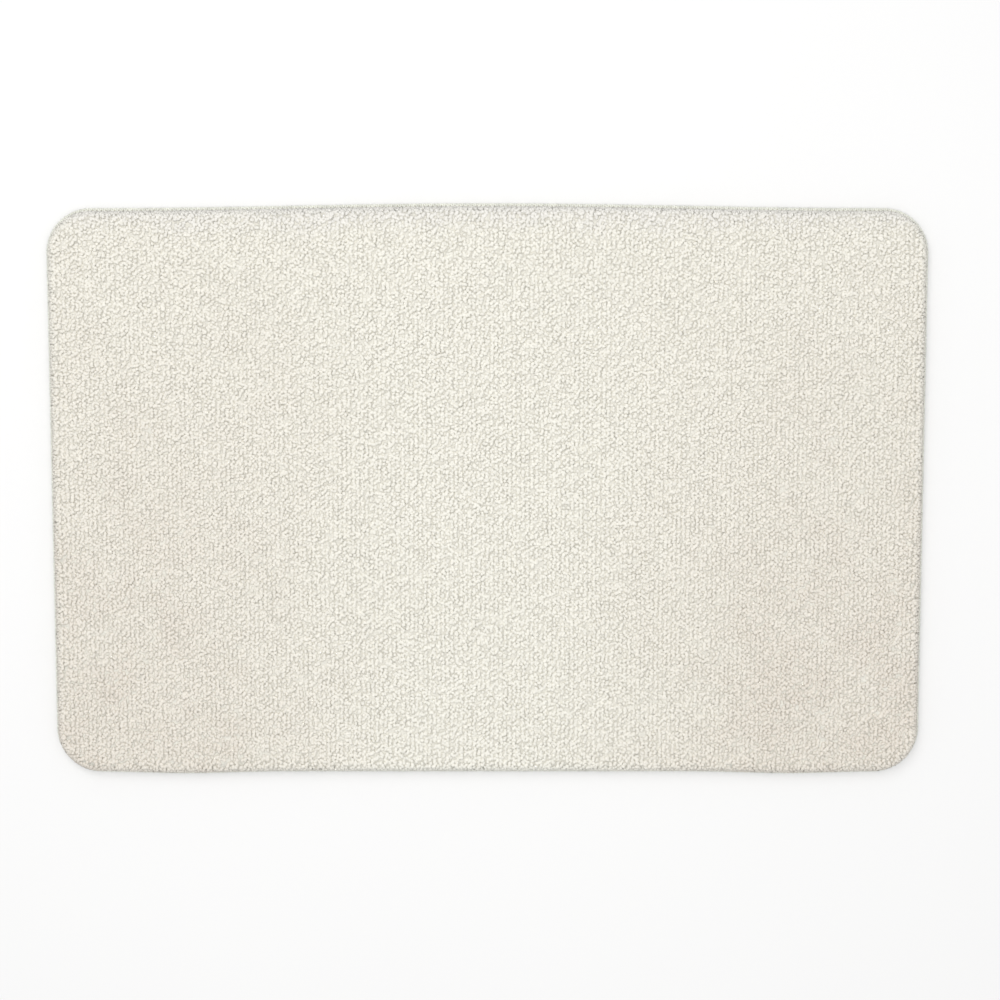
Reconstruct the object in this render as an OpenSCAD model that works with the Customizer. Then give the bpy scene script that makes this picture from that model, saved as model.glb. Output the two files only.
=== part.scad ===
// Tufted bath mat: a cut pile on a coated base cloth, with a studded rubber
// backing and an overlocked edge. It lies flat on its studs at z = 0.

/* [Mat] */
// Length of the mat, along X
mat_length = 780; // [500:5:1200]
// Width of the mat, along Y
mat_width = 510; // [350:5:800]
// Radius of the mat's corners
corner_r = 40; // [25:1:90]

/* [Pile] */
// Height of the pile above the base cloth
pile_height = 14; // [8:0.5:30]
// Radius of the pile's top edge
shoulder_r = 6; // [3:0.5:7]
// How far the pile stands back from the edge of the mat
pile_setback = 2.4; // [1:0.1:4]

/* [Layers] */
// Thickness of the woven base cloth
cloth_t = 0.6; // [0.4:0.1:1.2]
// Thickness of the latex that locks the tufts in the cloth
coat_t = 0.4; // [0.2:0.1:1]
// Thickness of the rubber sheet
rubber_t = 0.8; // [0.5:0.1:2]

/* [Grip studs] */
// Height of a stud below the rubber sheet
stud_h = 0.8; // [0.7:0.1:2]
// Diameter of a stud
stud_d = 8; // [4:0.5:12]
// Distance from a stud to its neighbours
stud_pitch = 24; // [18:1:40]

/* [Edge seam] */
// Width of the overlocked seam
seam_w = 5; // [4:0.5:7]
// Thickness of a layer of sewing thread
thread_t = 0.5; // [0.3:0.05:0.6]
// Width of the line that the needle thread makes
needle_w = 0.7; // [0.4:0.1:1.5]

/* [Care label] */
// Length of the folded label, from the seam to its fold
label_l = 34; // [20:1:60]
// Width of the label
label_w = 26; // [15:1:40]
// Thickness of the label's tape
label_t = 0.16; // [0.1:0.02:0.2]
// Place of the label's middle along X
label_x = 264; // [-300:1:300]

/* [Hidden] */
$fn = 64;

// Heights of the faces where one layer meets the next
rubber_z = stud_h;
coat_z = rubber_z + rubber_t;
cloth_z = coat_z + coat_t;
pile_z = cloth_z + cloth_t;
top_z = pile_z + pile_height;
// Height on the edge where the two looper threads lock together
lock_z = (rubber_z + pile_z) / 2;

// Inset of the layers, which leaves room for the threads around the edge
layer_inset = thread_t;
// Inset of the inner side of the seam and of the needle thread
needle_inset = seam_w + needle_w;
// Clear gap between the pile and the seam
pile_gap = 0.3;
// Height where the pile starts to lean out over the seam
overhang_z = pile_z + thread_t + pile_gap;
// The pile's own corner radius at its widest
pile_r = corner_r - pile_setback;

// Smallest gap between a stud and the seam, and between a stud and the label
stud_margin = 2;
// Distance between rows of studs, which are staggered by half a pitch
stud_row = stud_pitch * sin(60);
stud_rows = floor(mat_width / 2 / stud_row);
stud_columns = floor(mat_length / 2 / stud_pitch) + 1;
// Gap between the label's two leaves, and between the label and the rubber
label_gap = 0.06;
label_h = 2 * label_t + label_gap;
// The label starts where the underside of the seam ends
label_edge_y = -mat_width / 2 + seam_w;

// Distance from a point to the edge of the mat, positive inside it
function depth_in_mat(p) =
    let (past = [abs(p.x) - mat_length / 2 + corner_r, abs(p.y) - mat_width / 2 + corner_r])
    corner_r - norm([max(past.x, 0), max(past.y, 0)]) - min(max(past.x, past.y), 0);

function under_label(p) =
    abs(p.x - label_x) < label_w / 2 + stud_d / 2 + stud_margin
    && p.y < label_edge_y + label_l + stud_d / 2 + stud_margin;

// Places of the studs, with one at the mat's centre
stud_places = [
    for (row = [-stud_rows : stud_rows])
        for (column = [-stud_columns : stud_columns])
            let (p = [(column + (abs(row) % 2) / 2) * stud_pitch, row * stud_row])
            if (depth_in_mat(p) > needle_inset + stud_margin + stud_d / 2 && !under_label(p)) p
];

// The mat's outline, moved in by inset
module outline(inset) {
    length = mat_length - 2 * inset;
    width = mat_width - 2 * inset;
    r = corner_r - inset;
    square([length - 2 * r, width], center = true);
    square([length, width - 2 * r], center = true);
    for (x = [-1, 1], y = [-1, 1])
        translate([x * (length / 2 - r), y * (width / 2 - r)]) circle(r);
}

module layer(inset, z, thickness) {
    translate([0, 0, z]) linear_extrude(thickness) outline(inset);
}

// A band that follows the edge, between two insets
module band(outer, inner, z, thickness) {
    translate([0, 0, z]) linear_extrude(thickness) difference() {
        outline(outer);
        outline(inner);
    }
}

// Section of the pile's rim, from a corner's centre line outward
module rim_section() {
    translate([0, pile_z]) square([corner_r - needle_inset - pile_gap, overhang_z - pile_z]);
    translate([0, overhang_z]) square([pile_r - shoulder_r, top_z - overhang_z]);
    translate([0, overhang_z]) square([pile_r, top_z - overhang_z - shoulder_r]);
    translate([pile_r - shoulder_r, top_z - shoulder_r]) intersection() {
        circle(shoulder_r);
        square(shoulder_r);
    }
}

// A straight run of the pile, right across the mat
module pile_run(length, width) {
    rotate([90, 0, 90]) linear_extrude(length, center = true) {
        for (side = [0, 1])
            mirror([side, 0]) translate([width / 2 - corner_r, 0]) rim_section();
        translate([corner_r - width / 2, pile_z]) square([width - 2 * corner_r, pile_height]);
    }
}

module rubber_backing() color([0.86, 0.85, 0.8]) {
    layer(layer_inset, rubber_z, rubber_t);
    linear_extrude(rubber_z + rubber_t / 2)
        for (p = stud_places) translate(p) circle(d = stud_d);
}

module tuft_lock_coat() color([0.93, 0.91, 0.84]) layer(layer_inset, coat_z, coat_t);

module primary_cloth() color([0.9, 0.88, 0.82]) layer(layer_inset, cloth_z, cloth_t);

module pile_tufts() color([0.91, 0.89, 0.83]) {
    pile_run(mat_length - 2 * corner_r, mat_width);
    rotate(90) pile_run(mat_width - 2 * corner_r, mat_length);
    for (x = [0, 1], y = [0, 1])
        mirror([x, 0]) mirror([0, y])
            translate([mat_length / 2 - corner_r, mat_width / 2 - corner_r])
                rotate_extrude(angle = 90) rim_section();
}

module needle_thread() color([0.88, 0.86, 0.79]) band(seam_w, needle_inset, pile_z, thread_t);

module upper_looper_thread() color([0.89, 0.87, 0.8]) {
    band(0, seam_w, pile_z, thread_t);
    band(0, layer_inset, lock_z, pile_z - lock_z);
}

module lower_looper_thread() color([0.87, 0.85, 0.78]) {
    band(0, seam_w, rubber_z - thread_t, thread_t);
    band(0, layer_inset, rubber_z, lock_z - rubber_z);
}

// A tape folded in two under the mat, with its ends caught at the seam
module care_label() color([0.96, 0.96, 0.94])
    translate([label_x - label_w / 2, label_edge_y, rubber_z - label_gap - label_h])
        rotate([90, 0, 90]) linear_extrude(label_w) {
            leaf = label_l - label_h / 2;
            square([leaf, label_t]);
            translate([0, label_h - label_t]) square([leaf, label_t]);
            translate([leaf, label_h / 2]) difference() {
                circle(d = label_h);
                circle(d = label_gap);
                translate([-label_h, -label_h]) square([label_h, 2 * label_h]);
            }
        }

rubber_backing();
tuft_lock_coat();
primary_cloth();
pile_tufts();
needle_thread();
upper_looper_thread();
lower_looper_thread();
care_label();
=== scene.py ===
"""Builds the visible bath mat around its fixed layers: yarn by yarn for the pile, stitch by
stitch for the sewn edge, and layer by layer for what lies under them."""

import math

import bmesh
import bpy
import numpy as np
from bpy.props import (
    FloatProperty,
    FloatVectorProperty,
    IntProperty,
    PointerProperty,
)
from mathutils import Matrix, Vector


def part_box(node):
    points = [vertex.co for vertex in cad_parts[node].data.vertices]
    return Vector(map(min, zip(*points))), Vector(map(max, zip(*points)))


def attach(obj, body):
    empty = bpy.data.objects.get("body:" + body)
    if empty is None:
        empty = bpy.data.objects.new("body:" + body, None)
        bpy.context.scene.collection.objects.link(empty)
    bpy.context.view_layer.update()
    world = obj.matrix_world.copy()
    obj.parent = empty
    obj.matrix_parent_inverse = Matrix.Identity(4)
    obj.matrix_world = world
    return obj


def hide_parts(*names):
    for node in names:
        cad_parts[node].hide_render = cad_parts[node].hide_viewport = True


bl_info = {
    "name": "Plush Bath Mat",
    "version": (1, 0, 0),
    "blender": (4, 5, 0),
    "location": "3D View > Sidebar > Bath Mat",
    "description": "Builds a tufted bath mat with a sewn edge and a studded rubber back",
    "category": "Add Mesh",
}

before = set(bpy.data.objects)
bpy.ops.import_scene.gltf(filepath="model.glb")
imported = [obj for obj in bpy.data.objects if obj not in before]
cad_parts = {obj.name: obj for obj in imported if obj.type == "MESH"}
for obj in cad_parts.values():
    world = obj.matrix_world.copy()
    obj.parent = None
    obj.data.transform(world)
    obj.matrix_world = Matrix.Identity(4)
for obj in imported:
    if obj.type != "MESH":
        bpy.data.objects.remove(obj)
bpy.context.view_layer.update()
MM = 0.001

# Places that every piece shares, read from the fixed layers.
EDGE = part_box("upper_looper_thread")[1]
HALF_X, HALF_Y = EDGE.x, EDGE.y
PILE_LOW, PILE_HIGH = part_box("pile_tufts")
PILE_SETBACK = HALF_X - PILE_HIGH.x
CLOTH_LOW, CLOTH_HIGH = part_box("primary_cloth")
COAT_LOW, COAT_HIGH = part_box("tuft_lock_coat")
RUBBER_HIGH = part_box("rubber_backing")[1]
SEAM_WIDTH = HALF_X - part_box("needle_thread")[1].x
# Width of the line that the needle thread makes.
NEEDLE_LINE = 0.7 * MM
LOCK_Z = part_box("upper_looper_thread")[0].z
# The two looper threads lock halfway between the rubber sheet's underside and the pile.
SHEET_Z = 2 * LOCK_Z - PILE_LOW.z
LABEL_LOW, LABEL_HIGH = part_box("care_label")


# ---------------------------------------------------------------- sizes and colours


def length_in_mm(name, description, default, low, high):
    """A length in metres whose default and limits are given in millimetres."""
    return FloatProperty(
        name=name,
        description=description,
        default=default * MM,
        min=low * MM,
        max=high * MM,
        unit="LENGTH",
        precision=5,
    )


def colour(name, description, default):
    return FloatVectorProperty(
        name=name,
        description=description,
        default=default,
        min=0,
        max=1,
        size=3,
        subtype="COLOR",
    )


class BathMatSizes(bpy.types.PropertyGroup):
    """Sizes of the mat that its layers don't give."""

    corner_radius: length_in_mm("Corner radius", "Radius of the mat's corners", 40, 25, 90)
    back_bow: length_in_mm("Back bow", "How far the middle of the back edge bows out", 4.2, 0, 8)
    front_swell: length_in_mm("Front swell", "How far the front edge swells near its ends", 1.8, 0, 5)
    gauge: length_in_mm("Gauge", "Distance between rows of tufts", 3.97, 3, 8)
    stitch: length_in_mm("Stitch", "Distance between tufts in a row", 4.3, 2.5, 8)
    yarn: length_in_mm("Yarn", "Width of a yarn's cut end, two to a tuft", 4.7, 2, 7)
    lean: length_in_mm("Lean", "How far a yarn's cut end leans over", 1.3, 0, 5)
    rim_curl: length_in_mm("Rim curl", "How far a yarn's end lies over on the rim", 6.4, 1, 9)
    root_inset: length_in_mm("Root inset", "Inset of the outermost tufts' roots", 6.6, 5, 12)
    shoulder: length_in_mm("Shoulder", "Radius of the pile's rounded rim", 6, 3, 8)
    edge_stitch: length_in_mm("Edge stitch", "Distance between stitches on the edge", 3.9, 2, 8)
    edge_thread: length_in_mm("Edge thread", "Width of the looper threads", 1.6, 0.4, 2.4)
    stud_pitch: length_in_mm("Stud pitch", "Distance between neighbouring studs", 24, 18, 40)
    stud_width: length_in_mm("Stud width", "Diameter of a grip stud", 8, 4, 12)
    seed: IntProperty(name="Seed", description="Start of the random numbers", default=7, min=0)


class BathMatColours(bpy.types.PropertyGroup):
    """Colours of the mat and its floor."""

    tip: colour("Tip", "Pile at the tips of its tufts", (0.875, 0.856, 0.785))
    # Painted shade: the root colour paints the pile darker down between the tufts, where shade falls.
    root: colour("Root", "Pile down between the tufts", (0.825, 0.805, 0.735))
    # Painted shade: this colour paints the pile darker, with a warm tint, towards the front corners,
    # where the light falls off.
    front_corner_warm_shade: colour("Blush", "Warmer pile to the front corners", (0.775, 0.72, 0.645))
    rim: colour("Rim", "Sides of the yarns on the pile's rim", (0.88, 0.866, 0.795))
    # Painted light: this cool grey tint, painted along the back edge, stands in for cooler light
    # falling there.
    back_edge_cool_light: colour("Cool", "Faint grey patches along the pile's back edge", (0.80, 0.785, 0.785))
    thread: colour("Edge thread", "Threads of the sewn edge", (0.90, 0.91, 0.83))
    cloth: colour("Base cloth", "Woven cloth under the pile", (0.78, 0.76, 0.67))
    latex: colour("Latex", "Coat that locks the tufts", (0.78, 0.74, 0.61))
    rubber: colour("Rubber", "Moulded sheet and its studs", (0.72, 0.70, 0.62))
    label: colour("Label", "Blank satin care label", (0.82, 0.82, 0.79))
    floor: colour("Floor", "Floor under the mat", (0.86, 0.86, 0.86))


def sizes():
    return bpy.context.scene.bath_mat_sizes


def colours():
    return bpy.context.scene.bath_mat_colours


# ---------------------------------------------------------------- materials


class Value:
    """A shader's number, which Python's arithmetic builds Math nodes on."""

    def __init__(self, paint, socket):
        self.paint, self.socket = paint, socket

    def maths(self, operation, *others):
        inputs = {
            place: getattr(other, "socket", other)
            for place, other in enumerate((self, *others))
        }
        node = self.paint.node("ShaderNodeMath", {"operation": operation}, inputs)
        return Value(self.paint, node.outputs[0])

    def __add__(self, other):
        return self.maths("ADD", other)

    def __mul__(self, other):
        return self.maths("MULTIPLY", other)

    def __sub__(self, other):
        return self.maths("SUBTRACT", other)

    def __rsub__(self, other):
        return (self * -1) + other

    def __pow__(self, other):
        return self.maths("POWER", other)

    __radd__ = __add__
    __rmul__ = __mul__

    def between(self, low, high):
        """0 up to low, 1 from high on, and smooth between them."""
        node = self.paint.node(
            "ShaderNodeMapRange",
            {"interpolation_type": "SMOOTHSTEP"},
            {"Value": self.socket, "From Min": low, "From Max": high},
        )
        return Value(self.paint, node.outputs[0])


class Paint:
    """A material in the making, around one Principled shader."""

    def __init__(self, name, **constants):
        self.material = bpy.data.materials.new(name)
        self.material.use_nodes = True
        self.tree = self.material.node_tree
        self.shader = self.tree.nodes["Principled BSDF"]
        for socket, value in constants.items():
            self.shader.inputs[socket.replace("_", " ")].default_value = value

    def node(self, kind, settings=None, inputs=None):
        """Any node, from its type, its settings and its sockets' values or links."""
        node = self.tree.nodes.new(kind)
        for name, value in (settings or {}).items():
            setattr(node, name, value)
        for name, value in (inputs or {}).items():
            self.feed(node.inputs[name], value)
        return node

    def feed(self, socket, value):
        value = getattr(value, "socket", value)
        if isinstance(value, bpy.types.NodeSocket):
            self.tree.links.new(value, socket)
        else:
            socket.default_value = value

    def place(self, scale=(1, 1, 1)):
        """The piece's own coordinates in metres, stretched by scale."""
        where = self.node("ShaderNodeTexCoord").outputs["Object"]
        node = self.node("ShaderNodeVectorMath", {"operation": "MULTIPLY"}, {0: where, 1: scale})
        return node.outputs[0]

    def across(self):
        """How far right and how far back a point lies, from -1 at one edge to 1 at the other."""
        parts = self.node("ShaderNodeSeparateXYZ", None, {0: self.place((1 / HALF_X, 1 / HALF_Y, 1))})
        return Value(self, parts.outputs["X"]), Value(self, parts.outputs["Y"])

    def noise(self, size, detail, stretch=(1, 1, 1)):
        """Noise whose features are about size metres across."""
        node = self.node(
            "ShaderNodeTexNoise",
            None,
            {"Vector": self.place(stretch), "Scale": 1 / size, "Detail": detail},
        )
        return Value(self, node.outputs[0])

    def waves(self, size, direction):
        """Even ridges, size metres apart, that follow one another along an axis."""
        node = self.node(
            "ShaderNodeTexWave",
            {"bands_direction": direction},
            {"Vector": self.place(), "Scale": 2 * math.pi / 20 / size},
        )
        return Value(self, node.outputs["Fac"])

    def plies(self, count, turns):
        """The round backs of a yarn's twisted plies: 1 on them, and 0 in the grooves."""
        where = self.node("ShaderNodeUVMap", {"uv_map": "Plies"}).outputs[0]
        parts = self.node("ShaderNodeSeparateXYZ", None, {0: where})
        around, along = Value(self, parts.outputs[0]), Value(self, parts.outputs[1])
        wave = ((around * count + along * turns) * math.pi).maths("SINE")
        return wave.maths("ABSOLUTE") ** 0.7

    def attribute(self, name):
        node = self.node("ShaderNodeAttribute", {"attribute_name": name})
        return Value(self, node.outputs["Fac"])

    def mix(self, share, first, second):
        """A colour between two, each a colour or a socket."""
        node = self.node(
            "ShaderNodeMix",
            {"data_type": "RGBA"},
            {0: share, 6: rgba(first), 7: rgba(second)},
        )
        return node.outputs[2]

    def bump(self, height, distance):
        node = self.node("ShaderNodeBump", None, {"Height": height, "Distance": distance})
        self.feed(self.shader.inputs["Normal"], node.outputs[0])

    def surface(self, **sockets):
        """Feeds the shader what changes over the surface, and returns the material."""
        for name, value in sockets.items():
            self.feed(self.shader.inputs[name.replace("_", " ")], value)
        return self.material


def rgba(value):
    """A colour with its alpha, or the socket that gives one."""
    return value if isinstance(value, bpy.types.NodeSocket) else (*value, 1)


def times(shade, by):
    """A colour made lighter or darker."""
    return tuple(min(1, part * by) for part in shade)


def pile_paint(name, side, bloom):
    """Cut yarn: from its side's colour to its tip's, between two places along it. On the field the
    side's colour is the root's, which is painted shade for the depths of the pile.

    The pile is painted darker and warmer towards the front corners as painted shade, and a cool grey
    tint is painted along the back edge as painted light.
    """
    c = colours()
    paint = Paint(name, Roughness=0.9, Sheen_Weight=0.05, Sheen_Roughness=0.6)
    paint.shader.inputs["Specular IOR Level"].default_value = 0.15
    # Painted shade: down the yarn, its side's colour paints the depths of the pile darker.
    tips = paint.attribute("along").between(*bloom)
    yarn = paint.mix(tips, side, c.tip)
    x, y = paint.across()
    # Painted shade: the pile is painted darker and warmer, in patches, towards the sides and the
    # front, most at the front corners.
    patches = paint.noise(0.045, 3).between(0.40, 0.62)
    sides = (x.maths("ABSOLUTE") + paint.noise(0.2, 1) * 0.3).between(0.25, 0.95)
    corners = sides * (0.55 - y * 0.45) * (0.7 + patches * 0.3)
    yarn = paint.mix(corners, yarn, c.front_corner_warm_shade)
    # Painted light: a cool grey tint is painted along the back edge.
    back = (y + paint.noise(0.03, 2) * 0.12).between(0.94, 1.05)
    yarn = paint.mix(back * 0.4, yarn, c.back_edge_cool_light)
    tone = paint.attribute("tone")
    yarn = paint.mix(tone * 0.10, yarn, times(c.tip, 0.62))
    # The plies fade out at the cut end, where they open up.
    plies = 1 - (1 - paint.plies(3, 2)) * (1 - paint.attribute("along").between(0.8, 1.0))
    # Painted shade: the grooves between the plies are painted darker, as shade in the creases.
    yarn = paint.mix((1 - plies) * 0.14, yarn, times(c.root, 0.7))
    fibres = paint.noise(0.3 * MM, 2)
    paint.bump(plies * 0.7 + fibres * 0.3, 0.2 * MM)
    return paint.surface(Base_Color=yarn)


def stems_paint(name, low, high):
    """The lengths of yarn down in the pile, packed side by side, between two shades. Both are darker
    than the root colour, as painted shade deep in the pile.
    """
    c = colours()
    paint = Paint(name, Roughness=0.95)
    paint.shader.inputs["Specular IOR Level"].default_value = 0.1
    packed = paint.noise(2.2 * MM, 2).between(0.35, 0.65)
    paint.bump(packed, 0.4 * MM)
    return paint.surface(Base_Color=paint.mix(packed, times(c.root, low), times(c.root, high)))


def thread_paint():
    """Bulky spun thread, with fuzz and a slightly uneven dye."""
    c = colours()
    paint = Paint("edge_thread", Roughness=0.75, Sheen_Weight=0.3, Sheen_Roughness=0.5)
    dye = paint.noise(0.004, 3).between(0.3, 0.7)
    spun = paint.mix(dye, times(c.thread, 0.86), times(c.thread, 1.08))
    paint.bump(paint.noise(0.25 * MM, 3), 0.08 * MM)
    return paint.surface(Base_Color=spun)


def cloth_paint():
    """Plain-woven tape yarns, one up and one down."""
    c = colours()
    paint = Paint("base_cloth", Roughness=0.8, Sheen_Weight=0.1)
    warp, weft = paint.waves(1.2 * MM, "X"), paint.waves(1.5 * MM, "Y")
    weave = warp * (1 - weft) + weft * (1 - warp)
    woven = paint.mix(weave, times(c.cloth, 0.8), c.cloth)
    paint.bump(weave, 0.12 * MM)
    return paint.surface(Base_Color=woven)


def latex_paint():
    """A cloudy brushed coat."""
    c = colours()
    paint = Paint("latex_coat", Roughness=0.5)
    clouds = paint.noise(0.02, 4).between(0.3, 0.7)
    paint.bump(paint.noise(0.8 * MM, 2), 0.1 * MM)
    return paint.surface(
        Base_Color=paint.mix(clouds, times(c.latex, 0.85), c.latex),
        Roughness=clouds * 0.2 + 0.4,
    )


def rubber_paint():
    """Moulded rubber with a fine pebbled face and a few dusty smudges."""
    c = colours()
    paint = Paint("grip_rubber", Roughness=0.6)
    pebbles = paint.noise(0.9 * MM, 2)
    dust = paint.noise(0.035, 5).between(0.5, 0.8)
    moulded = paint.mix(pebbles, times(c.rubber, 0.9), times(c.rubber, 1.06))
    paint.bump(pebbles, 0.10 * MM)
    return paint.surface(
        Base_Color=paint.mix(dust * 0.4, moulded, times(c.rubber, 0.82)),
        Roughness=dust * 0.2 + 0.5,
    )


def label_paint():
    """Satin tape: long floats along it, and a close rib across."""
    c = colours()
    paint = Paint("label_tape", Roughness=0.35, Sheen_Weight=0.2, Anisotropic=0.4)
    floats = paint.noise(0.3 * MM, 2, (1, 0.15, 1))
    rib = paint.waves(0.35 * MM, "X")
    paint.bump(rib * 0.6 + floats * 0.4, 0.03 * MM)
    return paint.surface(Base_Color=paint.mix(floats, times(c.label, 0.9), c.label))


def floor_paint():
    """A plain pale floor with the faintest mottling."""
    c = colours()
    paint = Paint("pale_floor", Roughness=0.9)
    paint.shader.inputs["Specular IOR Level"].default_value = 0.1
    return paint.surface(Base_Color=paint.mix(paint.noise(0.4, 2), times(c.floor, 0.99), c.floor))


# ---------------------------------------------------------------- the mat's outline


def edge_turns(travel):
    """For places along the mat's edge: the middle of the turn there, and the way out."""
    r = sizes().corner_radius
    a, b = HALF_X - r, HALF_Y - r
    quarter = math.pi / 2 * r
    runs = [2 * b, quarter, 2 * a, quarter, 2 * b, quarter, 2 * a, quarter]
    knots = np.concatenate([[0], np.cumsum(runs)])
    travel = np.mod(travel, knots[-1])
    # The middle moves on along straight runs, and the way out turns on corners.
    middle_x = np.interp(travel, knots, [a, a, a, -a, -a, -a, -a, a, a])
    middle_y = np.interp(travel, knots, [-b, b, b, b, b, -b, -b, -b, -b])
    out = np.interp(travel, knots, np.radians([0, 0, 90, 90, 180, 180, 270, 270, 360]))
    return middle_x, middle_y, out


def around_edge(travel, inset):
    """Points that lie this far along the mat's edge and this far in from it."""
    middle_x, middle_y, out = edge_turns(travel)
    reach = sizes().corner_radius - inset
    return middle_x + reach * np.cos(out), middle_y + reach * np.sin(out)


def edge_length():
    r = sizes().corner_radius
    return 4 * (HALF_X + HALF_Y - 2 * r) + 2 * math.pi * r


def depth_in_mat(x, y):
    """Distance in from the mat's edge."""
    r = sizes().corner_radius
    past_x, past_y = np.abs(x) - HALF_X + r, np.abs(y) - HALF_Y + r
    beyond = np.hypot(np.maximum(past_x, 0), np.maximum(past_y, 0))
    return r - beyond - np.minimum(np.maximum(past_x, past_y), 0)


def settled(places):
    """Points moved as the finished mat's long edges wander from straight.

    The back edge bows out at its middle, and the front one swells towards its ends.
    """
    s = sizes()
    x, y = places[:, 0], places[:, 1]
    turn = np.clip(x / (0.89 * HALF_X), -1, 1) * math.pi
    back = np.clip(y / HALF_Y, 0, 1) ** 2
    front = np.clip(-y / HALF_Y, 0, 1) ** 2
    bow = s.back_bow * (0.5 * np.cos(turn) - 0.2)
    swell = s.front_swell * np.exp(-(((np.abs(x) - 0.7 * HALF_X) / (0.13 * HALF_X)) ** 2))
    places[:, 1] += back * bow - front * swell
    return places


# ---------------------------------------------------------------- mesh helpers


def places_of(mesh):
    places = np.empty(len(mesh.vertices) * 3)
    mesh.vertices.foreach_get("co", places)
    return places.reshape(-1, 3)


def put(mesh, places):
    mesh.vertices.foreach_set("co", places.ravel())
    mesh.update()


def add_piece(name, mesh, paint, slot, *nodes, smooth=True):
    """Shows a mesh as one of the mat's pieces, in place of its fixed layers."""
    mesh.name = name
    mesh.materials.clear()
    mesh.materials.append(paint)
    if smooth:
        mesh.shade_smooth()
    piece = bpy.data.objects.new(name, mesh)
    bpy.context.scene.collection.objects.link(piece)
    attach(piece, "root")
    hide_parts(*nodes)
    return piece


def repeated(bm, count):
    """One mesh that holds count copies of a shape, one after the other."""
    unit = bpy.data.meshes.new("unit")
    bm.to_mesh(unit)
    bm.free()
    maker = bpy.data.objects.new("unit", unit)
    bpy.context.scene.collection.objects.link(maker)
    array = maker.modifiers.new("Copies", "ARRAY")
    array.count = count
    array.use_relative_offset = False
    shown = maker.evaluated_get(bpy.context.evaluated_depsgraph_get())
    mesh = bpy.data.meshes.new_from_object(shown)
    bpy.data.objects.remove(maker)
    bpy.data.meshes.remove(unit)
    return mesh


def swept(stations, sides, closed=True):
    """A tube through a list of matrices, each of which stands a circle across its path.

    Each vertex knows how far along and how far around the tube it is.
    """
    bm = bmesh.new()
    along = bm.verts.layers.float.new("along")
    around = bm.verts.layers.float.new("around")
    first = bmesh.ops.create_circle(bm, segments=sides, radius=1)["verts"]
    for step, vert in enumerate(first):
        vert[around] = step / sides
    bmesh.ops.transform(bm, matrix=stations[0], verts=first)
    start = rim = bm.edges[:]
    for step, (before, after) in enumerate(zip(stations, stations[1:]), 1):
        made = bmesh.ops.extrude_edge_only(bm, edges=rim)["geom"]
        verts = [g for g in made if isinstance(g, bmesh.types.BMVert)]
        rim = [g for g in made if isinstance(g, bmesh.types.BMEdge) and set(g.verts) <= set(verts)]
        bmesh.ops.transform(bm, matrix=after @ before.inverted(), verts=verts)
        for vert in verts:
            vert[along] = step / (len(stations) - 1)
    if closed:
        for edges in (start, rim):
            bmesh.ops.contextual_create(bm, geom=edges)
    bmesh.ops.recalc_face_normals(bm, faces=bm.faces[:])
    unroll(bm, along, around)
    return bm


def unroll(bm, along, around):
    """Gives a tube two maps that unroll its side: one for its plies, and one to bake.

    The second has room for the tube's two ends, above and below its side.
    """
    uv = bm.loops.layers.uv.new("OFBake")
    plies = bm.loops.layers.uv.new("Plies")
    for face in bm.faces:
        turns = [loop.vert[around] for loop in face.loops]
        rises = [loop.vert[along] for loop in face.loops]
        end = max(rises) == min(rises)
        for loop, turn, rise in zip(face.loops, turns, rises):
            seam = max(turns) - min(turns) > 0.5 and turn < 0.5
            across, up = turn + seam, 0.1 + 0.8 * rise
            if end:
                angle = 2 * math.pi * turn
                across = 0.5 + 0.4 * math.cos(angle)
                up = 0.05 + 0.9 * rise + 0.05 * math.sin(angle)
            loop[plies].uv = (turn + seam, rise)
            loop[uv].uv = (across * 0.8, up)


def share_map(mesh, count):
    """Gives each of a mesh's copies its own cell of the map."""
    uv = mesh.uv_layers["OFBake"].uv
    flat = np.empty(len(uv) * 2)
    uv.foreach_get("vector", flat)
    flat = flat.reshape(count, -1, 2)
    across = math.ceil(math.sqrt(count))
    cells = np.stack(np.divmod(np.arange(count), across), axis=1)
    flat = (cells[:, None] + 0.05 + 0.9 * flat) / across
    uv.foreach_set("vector", flat.ravel())


def drift(x, y, wavelength, random):
    """A smooth random field over the mat, about 1 high."""
    waves = 28
    angle = random.uniform(0, 2 * math.pi, waves)
    rate = 2 * math.pi / wavelength * random.uniform(0.6, 1.5, waves)
    phase = random.uniform(0, 2 * math.pi, waves)
    total = np.zeros_like(x)
    for k, a, p in zip(rate, angle, phase):
        total += np.cos(k * (x * math.cos(a) + y * math.sin(a)) + p)
    return total * math.sqrt(2 / waves)


def unit_vectors(v):
    return v / np.linalg.norm(v, axis=-1, keepdims=True)


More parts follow.
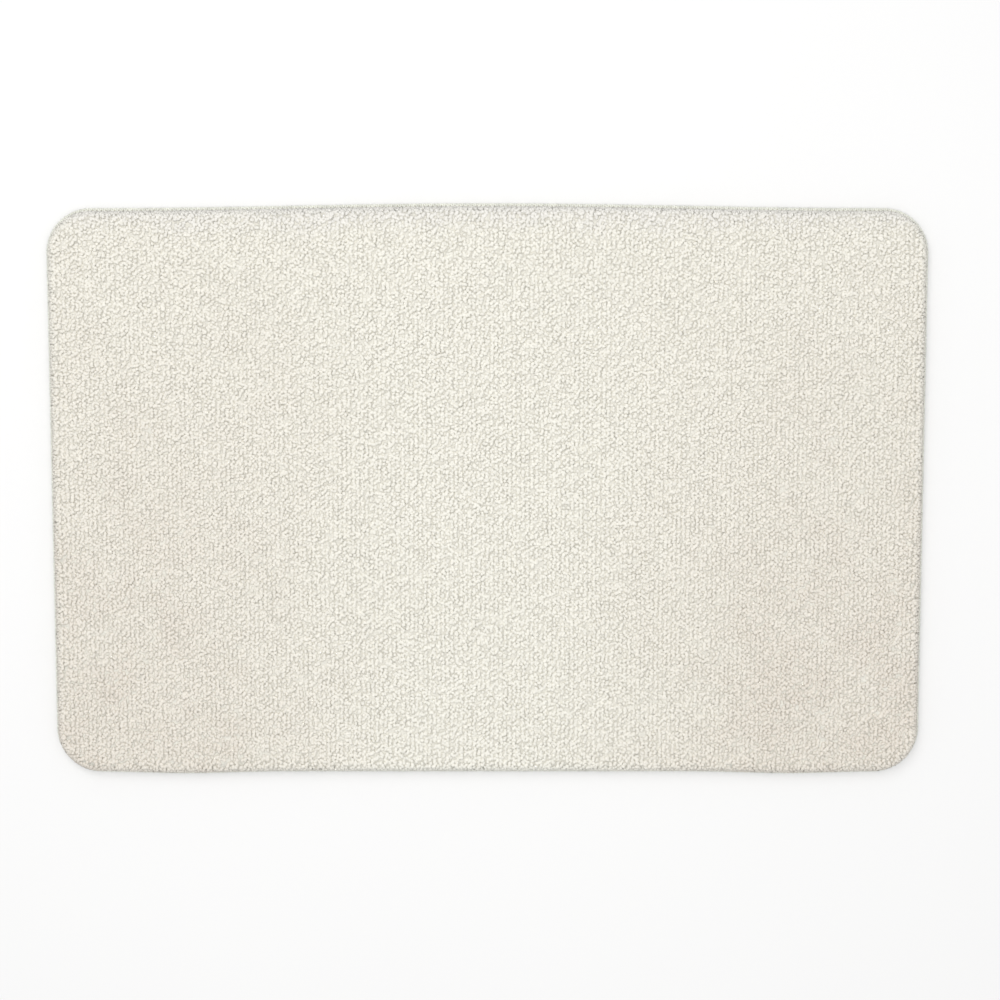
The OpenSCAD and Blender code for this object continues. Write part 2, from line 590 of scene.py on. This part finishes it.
def plate(inset, low, high, cell):
    """A closed slab with the mat's outline, cut into cells so that its edges can wander."""
    r = sizes().corner_radius
    half = np.array([HALF_X, HALF_Y]) - inset
    steps = [max(2, round(2 * h / cell)) for h in half]
    bm = bmesh.new()
    bmesh.ops.create_grid(bm, x_segments=steps[0], y_segments=steps[1], size=1)
    bmesh.ops.scale(bm, vec=(half[0], half[1], 1), verts=bm.verts)
    bmesh.ops.translate(bm, vec=(0, 0, low), verts=bm.verts)
    lifted = bmesh.ops.extrude_face_region(bm, geom=bm.faces[:])["geom"]
    top = [g for g in lifted if isinstance(g, bmesh.types.BMVert)]
    bmesh.ops.translate(bm, vec=(0, 0, high - low), verts=top)
    bmesh.ops.recalc_face_normals(bm, faces=bm.faces[:])
    mesh = bpy.data.meshes.new("plate")
    bm.to_mesh(mesh)
    bm.free()
    places = places_of(mesh)
    # Each square corner is drawn in to a round one.
    past = np.abs(places[:, :2]) - (half - (r - inset))
    corner = (past > 0).all(axis=1)
    square = past[corner]
    rounder = square.max(axis=1) / np.hypot(square[:, 0], square[:, 1])
    moved = square * rounder[:, None] + half - (r - inset)
    places[corner, :2] = np.sign(places[corner, :2]) * moved
    put(mesh, settled(places))
    return mesh


# ---------------------------------------------------------------- pile


def yarn_end(rises, girths, sides, twist):
    """A length of three-ply yarn from height 0 to 1, which is closed at both ends."""
    stations = [
        Matrix.Translation((0, 0, rise))
        @ Matrix.Rotation(twist * rise, 4, "Z")
        @ Matrix.Diagonal((girth, girth, 1, 1))
        for rise, girth in zip(rises, girths)
    ]
    return swept(stations, sides=sides)


def bend_yarn(mesh, stems, crowns, ways, ups, reach, arch, widths, turns):
    """Bends each copy of a yarn end up its stem and over to its way, around its crown.

    Up is the direction out of the pile there, and reach is how far over the yarn goes. It
    lies down past its crown if the arch is high, and stands up to it if the arch is low.
    """
    unit = places_of(mesh).reshape(len(stems), -1, 3)
    u = unit[..., 2:]
    way, up = ways[:, None], ups[:, None]
    far = way * reach[:, None, None]
    crown, start = crowns[:, None], stems[:, None]
    second = start + (crown - far * 0.5 - start) * 0.75
    third = crown - far * 0.17 + up * arch
    last = crown + far * 0.5
    axis = (
        start * (1 - u) ** 3
        + second * 3 * (1 - u) ** 2 * u
        + third * 3 * (1 - u) * u**2
        + last * u**3
    )
    along = unit_vectors(
        (second - start) * (1 - u) ** 2 + (third - second) * 2 * (1 - u) * u + (last - third) * u**2
    )
    # A yarn is a little flatter than it is wide.
    flatness = 0.85
    side = np.cross(up, way)
    side = unit_vectors(side - along * (side * along).sum(axis=-1, keepdims=True))
    other = np.cross(along, side)
    c, s = np.cos(turns)[:, None], np.sin(turns)[:, None]
    across = (unit[..., 0] * c - unit[..., 1] * s) * widths[:, None] / 2
    over = (unit[..., 0] * s + unit[..., 1] * c) * widths[:, None] / 2 * flatness
    places = axis + side * across[..., None] + other * over[..., None]
    put(mesh, settled(places.reshape(-1, 3)))


def tone_of(mesh, tones):
    """Stores one random shade for each copy."""
    each = len(mesh.vertices) // len(tones)
    layer = mesh.attributes.new("tone", "FLOAT", "POINT")
    layer.data.foreach_set("value", np.repeat(tones, each).astype(np.float32))


def pile_piece(name, unit, paint, part, random, stems, crowns, ways, ups, reach, arch, widths):
    """Makes one piece from the part of the tufts that it takes."""
    count = len(stems[part])
    mesh = repeated(unit, count)
    turns = random.uniform(0, 2 * math.pi, count)
    tufts = (tuft[part] for tuft in (stems, crowns, ways, ups, reach))
    bend_yarn(mesh, *tufts, arch, widths[part], turns)
    share_map(mesh, count)
    tone_of(mesh, random.uniform(0, 1, count))
    add_piece(name, mesh, paint, "pile_yarn", "pile_tufts")


def swirl(x, y, random):
    """The way that each tuft leans: to either side at the front, and any way to the back."""
    loose = np.clip(0.5 + y / HALF_Y, 0.2, 1.0)
    turn = drift(x, y, 0.16, random) * 0.2 + drift(x, y, 0.014, random) * 0.6 * loose
    turn += random.normal(0, 0.5 + 1.2 * loose, len(x))
    return turn + random.integers(0, 2, len(x)) * math.pi


class BATHMAT_OT_pile(bpy.types.Operator):
    """Tufts the field of the pile, row by row, in strips that run along the mat"""

    bl_idname = "bath_mat.pile"
    bl_label = "Pile"
    strips = 10
    # How much of a yarn is made, from its cut end down.
    made = 4.4 * MM
    # A low arch, so that a yarn stands up and shows its cut end.
    arch = -1.1 * MM
    # The share of yarns that are left out, so that here and there the pile parts.
    left_out = 0.04
    # How far yarns end below the rest, on average, in millimetres.
    short_by = 0.18

    def execute(self, context):
        s = sizes()
        random = np.random.default_rng(s.seed)
        # The rows are spaced to end where the rim starts.
        edge = PILE_SETBACK + s.shoulder + 0.3 * MM
        columns = round((HALF_X - edge) / s.gauge)
        stitches = round((HALF_Y - edge) / s.stitch)
        x, y = np.meshgrid(
            np.linspace(edge - HALF_X, HALF_X - edge, 2 * columns + 1),
            np.linspace(edge - HALF_Y, HALF_Y - edge, 2 * stitches + 1),
            indexing="ij",
        )
        y = y + (np.arange(2 * columns + 1) % 2 - 0.5)[:, None] * s.stitch / 2
        # Rows are straighter at the front, and wander more to the back.
        loose = np.clip(0.5 + y / HALF_Y, 0.6, 1.0)
        x = x + random.normal(0, 0.12, x.shape) * loose * s.gauge
        y = y + random.normal(0, 0.18, y.shape) * s.stitch
        # A tuft is one yarn, bent double under the cloth, so it has two cut ends.
        apart, along = 0.14 * s.gauge, 0.23 * s.stitch
        x = np.stack([x - apart, x + apart]).ravel()
        y = np.stack([y - along, y + along]).ravel()
        x = x + random.normal(0, 0.10, len(x)) * s.gauge
        y = y + random.normal(0, 0.12, len(y)) * s.stitch
        inside = depth_in_mat(x, y) > edge - 0.4 * s.gauge
        inside &= random.random(len(x)) > self.left_out
        x, y = x[inside], y[inside]
        turn = swirl(x, y, random)
        level = PILE_HIGH.z - 0.4 * MM + drift(x, y, 0.0075, random) * 0.15 * MM
        # Now and then a yarn ends well below the rest.
        level -= (random.exponential(self.short_by, len(x)) - self.short_by) * MM
        crowns = np.stack([x, y, level], axis=1)
        stems = crowns - np.array([0, 0, self.made])
        ways = np.stack([np.cos(turn), np.sin(turn), np.zeros_like(turn)], axis=1)
        ups = np.broadcast_to((0.0, 0.0, 1.0), crowns.shape)
        reach = s.lean * random.uniform(0.4, 1.6, len(x))
        widths = s.yarn * random.uniform(0.85, 1.1, len(x))
        paint = pile_paint("pile_yarn", colours().root, (0.05, 0.6))
        order = np.argsort(y, kind="stable")
        for number, strip in enumerate(np.array_split(order, self.strips), 1):
            unit = yarn_end(
                rises=(0, 0.6, 0.86, 1.0), girths=(0.85, 1.0, 0.95, 0.5), sides=5, twist=2.0,
            )
            pile_piece(
                f"pile_strip_{number}", unit, paint, strip, random,
                stems, crowns, ways, ups, reach, self.arch, widths,
            )
        return {"FINISHED"}


class BATHMAT_OT_pile_rim(bpy.types.Operator):
    """Tufts the rounded rim of the pile, which leans out over the sewn edge"""

    bl_idname = "bath_mat.pile_rim"
    bl_label = "Pile Rim"
    rings = 7
    # A high arch, so that a yarn lies over and shows its side.
    arch = 1.2 * MM

    def execute(self, context):
        s = sizes()
        random = np.random.default_rng(s.seed + 1)
        pitch = 0.7 * s.stitch
        tufts = round(edge_length() / pitch)
        # Up the pile's side and round its shoulder, from the seam to the field.
        low = PILE_LOW.z + 1.6 * MM
        wall = PILE_HIGH.z - s.shoulder - low
        climb = wall + s.shoulder * math.pi / 2
        ring, tuft = np.divmod(np.arange(self.rings * tufts), tufts)
        travel = (tuft + ring % 2 / 2 + random.uniform(-0.3, 0.3, len(tuft))) * pitch
        climbed = (ring + 0.5 + random.normal(0, 0.18, len(ring))) / self.rings * climb
        tilt = np.clip((climbed - wall) / s.shoulder, 0, math.pi / 2)
        inset = PILE_SETBACK + s.shoulder * (1 - np.cos(tilt))
        inset += np.maximum(climbed - wall - s.shoulder * math.pi / 2, 0)
        height = low + np.minimum(climbed, wall) + s.shoulder * np.sin(tilt)
        middle_x, middle_y, out = edge_turns(travel)
        outward = np.stack([np.cos(out), np.sin(out), np.zeros_like(out)], axis=1)
        onward = np.stack([-np.sin(out), np.cos(out), np.zeros_like(out)], axis=1)
        upward = np.array([0.0, 0.0, 1.0])
        ups = outward * np.cos(tilt)[:, None] + upward * np.sin(tilt)[:, None]
        downhill = outward * np.sin(tilt)[:, None] - upward * np.cos(tilt)[:, None]
        turn = random.normal(0, 0.5, len(travel))[:, None]
        ways = downhill * np.cos(turn) + onward * np.sin(turn)
        middle = np.stack([middle_x, middle_y, np.zeros_like(out)], axis=1)
        reach_out = s.corner_radius - inset
        crowns = middle + outward * reach_out[:, None] + upward * height[:, None]
        # Here a yarn shows its side, which is narrower than its cut end.
        width = 0.76 * s.yarn
        depth = 0.45 * width - random.normal(0, 0.06 * MM, len(travel))
        crowns -= ups * depth[:, None]
        root_inset = s.root_inset + random.uniform(0, 0.5, len(travel)) * MM
        root_inset += np.maximum(inset - s.root_inset, 0)
        stems = middle + outward * (s.corner_radius - root_inset)[:, None] + upward * PILE_LOW.z
        reach = s.rim_curl * random.uniform(0.8, 1.2, len(travel))
        # The lowest ends lie down on the seam.
        reach = np.minimum(reach, 2 * (crowns[:, 2] - PILE_LOW.z - 0.6 * MM))
        widths = width * random.uniform(0.92, 1.08, len(travel))
        # The rim shows its yarns from the side, in one colour right up to their ends.
        paint = pile_paint("rim_yarn", colours().rim, (0.8, 1.6))
        for name, part in (("left", crowns[:, 0] < 0), ("right", crowns[:, 0] >= 0)):
            unit = yarn_end(
                rises=(0, 0.45, 0.8, 1.0), girths=(0.7, 1.0, 1.05, 0.45), sides=5, twist=3.0,
            )
            pile_piece(
                f"pile_rim_{name}", unit, paint, part, random,
                stems, crowns, ways, ups, reach, self.arch, widths,
            )
        return {"FINISHED"}


class BATHMAT_OT_pile_stems(bpy.types.Operator):
    """Packs the stems of the tufts into one bed, which closes the view between their heads"""

    bl_idname = "bath_mat.pile_stems"
    bl_label = "Pile Stems"
    # How far the bed lies below the pile's surface, in the field and at the rim.
    field_depth = 1.75 * MM
    rim_depth = 2.6 * MM
    cell = 8 * MM

    def execute(self, context):
        s = sizes()
        random = np.random.default_rng(s.seed + 2)
        top = PILE_HIGH.z - self.field_depth
        mesh = plate(s.root_inset + 0.6 * MM, PILE_LOW.z, top, self.cell)
        places = places_of(mesh)
        upper = places[:, 2] > top - MM
        places[upper, 2] += drift(places[upper, 0], places[upper, 1], 0.012, random) * 0.2 * MM
        put(mesh, places)
        add_piece("pile_stems", mesh, stems_paint("pile_stems", 0.88, 0.98), "pile_yarn", "pile_tufts")

        # Under the rim, the bed is as round as the pile.
        count = round(edge_length() / self.cell)
        pitch = edge_length() / count
        inset = PILE_SETBACK + s.shoulder
        middle = (PILE_LOW.z + PILE_HIGH.z) / 2
        width = 2 * (s.shoulder - self.rim_depth)
        height = PILE_HIGH.z - PILE_LOW.z - 2 * self.rim_depth
        unit = stitch_path(lambda t: (pitch * t, inset, middle), width, height, 16, 1, 0)
        # Painted shade: the bed under the rim is painted a little darker than the field's.
        paint = stems_paint("rim_stems", 0.85, 0.95)
        sew("rim_stems", unit, pitch, count, 0, random, paint, "pile_yarn", "pile_tufts")
        return {"FINISHED"}


# ---------------------------------------------------------------- sewn edge


def stitch_path(path, width, thickness, sides, steps, twist):
    """One stitch of thread along a path of (travel, inset, height), which ends as it began."""
    stations = []
    for step in range(steps + 1):
        t = step / steps
        here = Vector(path(t))
        heading = (Vector(path(t + 0.01)) - Vector(path(t - 0.01))).normalized()
        side = heading.cross(Vector((0, 0, 1))).normalized()
        up = side.cross(heading)
        turn = Matrix((side, up, heading)).transposed().to_4x4()
        shape = Matrix.Diagonal((width / 2, thickness / 2, 1, 1))
        stations.append(
            Matrix.Translation(here) @ turn @ shape @ Matrix.Rotation(twist * t, 4, "Z")
        )
    return swept(stations, sides=sides, closed=False)


def sew(name, unit, pitch, count, pull, random, *settings):
    """Sews a stitch all round the mat as one endless thread."""
    mesh = repeated(unit, count)
    places = places_of(mesh).reshape(count, -1, 3)
    travel = places[..., 0] + np.arange(count)[:, None] * pitch
    inset = places[..., 1]
    # A stitch is pulled a little further in or out than the next.
    pulls = random.normal(0, pull, count)[:, None]
    middle = np.sin(np.clip(places[..., 0] / pitch, 0, 1) * math.pi)
    x, y = around_edge(travel, inset + pulls * middle)
    share_map(mesh, count)
    put(mesh, settled(np.stack([x.ravel(), y.ravel(), places[..., 2].ravel()], axis=1)))
    bm = bmesh.new()
    bm.from_mesh(mesh)
    bmesh.ops.remove_doubles(bm, verts=bm.verts, dist=0.002 * MM)
    bmesh.ops.recalc_face_normals(bm, faces=bm.faces[:])
    bm.to_mesh(mesh)
    bm.free()
    add_piece(name, mesh, *settings)


class BATHMAT_OT_overlock(bpy.types.Operator):
    """Sews the overlocked edge: a needle thread, and two looper threads that lock on the edge"""

    bl_idname = "bath_mat.overlock"
    bl_label = "Overlocked Edge"

    def execute(self, context):
        s = sizes()
        random = np.random.default_rng(s.seed + 3)
        thread = (thread_paint(), "edge_thread")
        pull = 0.10 * MM
        count = round(edge_length() / s.edge_stitch)
        pitch = edge_length() / count
        thick = 0.5 * s.edge_thread
        top, bottom = CLOTH_HIGH.z + thick / 2, SHEET_Z - thick / 2
        outside = 0.2 * thick
        # Across the seam: how far on, the inset there and the height there.
        run = np.array([0, 0.62, 0.84, 0.93, 1.0])
        insets = np.array([SEAM_WIDTH + 0.2 * MM, 1.4 * MM, 0.6 * MM, outside, outside])
        upper = np.array([top - 0.1 * MM, top + 0.1 * MM, top - 0.15 * MM, top - 0.6 * MM, LOCK_Z])
        lower = np.array([bottom, bottom, bottom + 0.1 * MM, bottom + 0.5 * MM, LOCK_Z])

        def looper(heights, start):
            def path(t):
                across = (1 - math.cos(2 * math.pi * t)) / 2
                travel = pitch * (t + start - 0.10 * math.sin(2 * math.pi * t))
                return (travel, np.interp(across, run, insets), np.interp(across, run, heights))

            return path

        def needle(t):
            across = (1 + math.cos(2 * math.pi * t)) / 2
            inset = SEAM_WIDTH + 0.35 * MM
            sunk = across**3
            return (pitch * t, inset, top * (1 - sunk) + bottom * sunk)

        unit = stitch_path(looper(upper, 0.0), s.edge_thread, thick, 5, 10, math.pi)
        sew("upper_looper_yarn", unit, pitch, count, pull, random, *thread, "upper_looper_thread")
        unit = stitch_path(looper(lower, 0.5), s.edge_thread, thick, 5, 10, math.pi)
        sew("lower_looper_yarn", unit, pitch, count, pull, random, *thread, "lower_looper_thread")
        unit = stitch_path(needle, 0.5 * s.edge_thread, 0.5 * s.edge_thread, 4, 8, 0)
        sew("needle_yarn", unit, pitch, count, pull, random, *thread, "needle_thread")
        return {"FINISHED"}


# ---------------------------------------------------------------- layers under the pile


class BATHMAT_OT_base_cloth(bpy.types.Operator):
    """Lays the woven base cloth and the latex coat under it"""

    bl_idname = "bath_mat.base_cloth"
    bl_label = "Base Cloth"

    def execute(self, context):
        inset = HALF_X - CLOTH_HIGH.x
        mesh = plate(inset, CLOTH_LOW.z, CLOTH_HIGH.z, 10 * MM)
        cloth = add_piece(
            "base_cloth", mesh, cloth_paint(), "base_cloth", "primary_cloth", smooth=False
        )
        mesh = plate(inset, COAT_LOW.z, COAT_HIGH.z, 10 * MM)
        add_piece("latex_coat", mesh, latex_paint(), "latex_coat", "tuft_lock_coat", smooth=False)
        return {"FINISHED"}


class BATHMAT_OT_rubber(bpy.types.Operator):
    """Moulds the rubber sheet and its staggered grip studs"""

    bl_idname = "bath_mat.rubber"
    bl_label = "Rubber Backing"
    # Smallest gap between a stud and the seam, and between a stud and the label.
    margin = 2 * MM

    def stud_places(self):
        """The studs' middles, clear of the seam and of the label."""
        s = sizes()
        half = s.stud_width / 2
        row = s.stud_pitch * math.sin(math.radians(60))
        rows, columns = int(HALF_Y // row), int(HALF_X // s.stud_pitch) + 1
        inner = SEAM_WIDTH + NEEDLE_LINE + self.margin + half
        middle = (LABEL_LOW.x + LABEL_HIGH.x) / 2
        reach = (LABEL_HIGH.x - LABEL_LOW.x) / 2 + half + self.margin
        places = []
        for j in range(-rows, rows + 1):
            for i in range(-columns, columns + 1):
                x, y = (i + (j % 2) / 2) * s.stud_pitch, j * row
                labelled = abs(x - middle) < reach and y < LABEL_HIGH.y + half + self.margin
                if depth_in_mat(x, y) > inner and not labelled:
                    places.append((x, y, 0))
        return np.array(places)

    def execute(self, context):
        s = sizes()
        sheet = plate(HALF_X - RUBBER_HIGH.x, SHEET_Z, RUBBER_HIGH.z, 10 * MM)
        bm = bmesh.new()
        radius = s.stud_width / 2
        bmesh.ops.create_circle(bm, segments=14, radius=radius, cap_ends=True)
        lifted = bmesh.ops.extrude_face_region(bm, geom=bm.faces[:])["geom"]
        raised = [g for g in lifted if isinstance(g, bmesh.types.BMVert)]
        bmesh.ops.translate(bm, vec=(0, 0, SHEET_Z + 0.2 * MM), verts=raised)
        foot = [e for e in bm.edges if all(v.co.z < 0.1 * MM for v in e.verts)]
        bmesh.ops.bevel(
            bm, geom=foot, offset=0.35 * MM, offset_type="OFFSET",
            affect="EDGES", segments=1, profile=0.5, material=-1,
        )
        bmesh.ops.recalc_face_normals(bm, faces=bm.faces[:])
        middles = self.stud_places()
        studs = repeated(bm, len(middles))
        places = places_of(studs).reshape(len(middles), -1, 3) + middles[:, None]
        put(studs, settled(places.reshape(-1, 3)))
        bm = bmesh.new()
        bm.from_mesh(sheet)
        bm.from_mesh(studs)
        bm.to_mesh(sheet)
        bm.free()
        bpy.data.meshes.remove(studs)
        paint = rubber_paint()
        add_piece("studded_rubber", sheet, paint, "grip_rubber", "rubber_backing", smooth=False)
        return {"FINISHED"}


class BATHMAT_OT_label(bpy.types.Operator):
    """Folds the blank care label and tucks its ends in the seam"""

    bl_idname = "bath_mat.label"
    bl_label = "Care Label"

    def execute(self, context):
        width = LABEL_HIGH.x - LABEL_LOW.x
        length = LABEL_HIGH.y - LABEL_LOW.y
        thick = 0.14 * MM
        ripple = 0.02 * MM
        # Its two ends are tucked this far into the seam.
        tuck = 1.5 * MM
        fold_r = (LABEL_HIGH.z - LABEL_LOW.z - thick) / 2
        steps = 12
        bm = bmesh.new()
        bmesh.ops.create_grid(bm, x_segments=steps, y_segments=4 * steps, size=0.5)
        # The tape's length runs out along the lower leaf, round the fold and back.
        leaf = length - fold_r - thick / 2
        tape = 2 * leaf + math.pi * fold_r
        middle_z = (LABEL_HIGH.z + LABEL_LOW.z) / 2
        for vert in bm.verts:
            run = (vert.co.y + 0.5) * tape
            turn = np.clip((run - leaf) / fold_r, 0, math.pi)
            past = max(0, run - leaf - math.pi * fold_r)
            out = min(run, leaf) + fold_r * math.sin(turn) - past
            wave = ripple * math.sin(vert.co.x * 9) * (out / length)
            vert.co = (
                (LABEL_LOW.x + LABEL_HIGH.x) / 2 + vert.co.x * width,
                LABEL_LOW.y + out - tuck,
                middle_z - fold_r * math.cos(turn) + wave,
            )
        mesh = bpy.data.meshes.new("label")
        bm.to_mesh(mesh)
        bm.free()
        label = add_piece("blank_label", mesh, label_paint(), "label_tape", "care_label")
        wall = label.modifiers.new("Tape", "SOLIDIFY")
        wall.thickness = thick
        wall.offset = 0
        return {"FINISHED"}


# ---------------------------------------------------------------- stage


def soft_light(name, place, size, power, tint):
    """A square light that faces the middle of the mat."""
    data = bpy.data.lights.new(name, "AREA")
    data.shape = "SQUARE"
    data.size = size
    data.energy = power
    data.color = tint
    light = bpy.data.objects.new(name, data)
    light.location = place
    light.rotation_euler = (-Vector(place)).to_track_quat("-Z", "Y").to_euler()
    bpy.context.scene.collection.objects.link(light)


class BATHMAT_OT_stage(bpy.types.Operator):
    """Lays the pale floor and sets the lights and the camera"""

    bl_idname = "bath_mat.stage"
    bl_label = "Stage"

    def execute(self, context):
        scene = context.scene
        bm = bmesh.new()
        bmesh.ops.create_grid(bm, x_segments=1, y_segments=1, size=6)
        mesh = bpy.data.meshes.new("pale_floor")
        bm.to_mesh(mesh)
        bm.free()
        mesh.materials.append(floor_paint())
        floor = bpy.data.objects.new("pale_floor", mesh)
        scene.collection.objects.link(floor)

        world = bpy.data.worlds.new("white_studio")
        scene.world = world
        world.use_nodes = True
        sky = world.node_tree.nodes["Background"]
        sky.inputs["Color"].default_value = (1.0, 1.0, 1.0, 1)
        sky.inputs["Strength"].default_value = 0.64
        soft_light("overhead", (0, 0.1, 2.7), 2.4, 36, (1.0, 1.0, 1.0))
        soft_light("key", (-0.7, 1.3, 2.2), 1.2, 12, (1.0, 0.99, 0.97))

        # The camera stands over the mat, a little past its back edge, and looks down.
        tilt, distance = math.radians(6.5), 2.0
        aim = Vector((0.0112, -0.0064, 0.008))
        data = bpy.data.cameras.new("camera")
        data.sensor_width = 36
        data.lens = 80.56
        camera = bpy.data.objects.new("camera", data)
        camera.location = aim + distance * Vector((0, math.sin(tilt), math.cos(tilt)))
        camera.rotation_euler = (-tilt, 0, 0)
        scene.collection.objects.link(camera)
        scene.camera = camera
        scene.view_settings.view_transform = "Standard"
        return {"FINISHED"}


# ---------------------------------------------------------------- panel and run

OPERATORS = (
    BATHMAT_OT_stage,
    BATHMAT_OT_rubber,
    BATHMAT_OT_base_cloth,
    BATHMAT_OT_overlock,
    BATHMAT_OT_pile,
    BATHMAT_OT_pile_rim,
    BATHMAT_OT_pile_stems,
    BATHMAT_OT_label,
)


class BATHMAT_PT_panel(bpy.types.Panel):
    """Lists the mat's sizes, its colours and its pieces"""

    bl_idname = "BATHMAT_PT_panel"
    bl_label = "Bath Mat"
    bl_space_type = "VIEW_3D"
    bl_region_type = "UI"
    bl_category = "Bath Mat"

    def draw(self, context):
        for group in (sizes(), colours()):
            box = self.layout.box()
            for name in group.__annotations__:
                box.prop(group, name)
        for operator in OPERATORS:
            self.layout.operator(operator.bl_idname)


CLASSES = (BathMatSizes, BathMatColours, *OPERATORS, BATHMAT_PT_panel)


def register():
    for item in CLASSES:
        bpy.utils.register_class(item)
    bpy.types.Scene.bath_mat_sizes = PointerProperty(type=BathMatSizes)
    bpy.types.Scene.bath_mat_colours = PointerProperty(type=BathMatColours)


def unregister():
    del bpy.types.Scene.bath_mat_colours
    del bpy.types.Scene.bath_mat_sizes
    for item in reversed(CLASSES):
        bpy.utils.unregister_class(item)


def main():
    register()
    for operator in OPERATORS:
        group, name = operator.bl_idname.split(".")
        getattr(getattr(bpy.ops, group), name)()


if __name__ == "__main__":
    main()
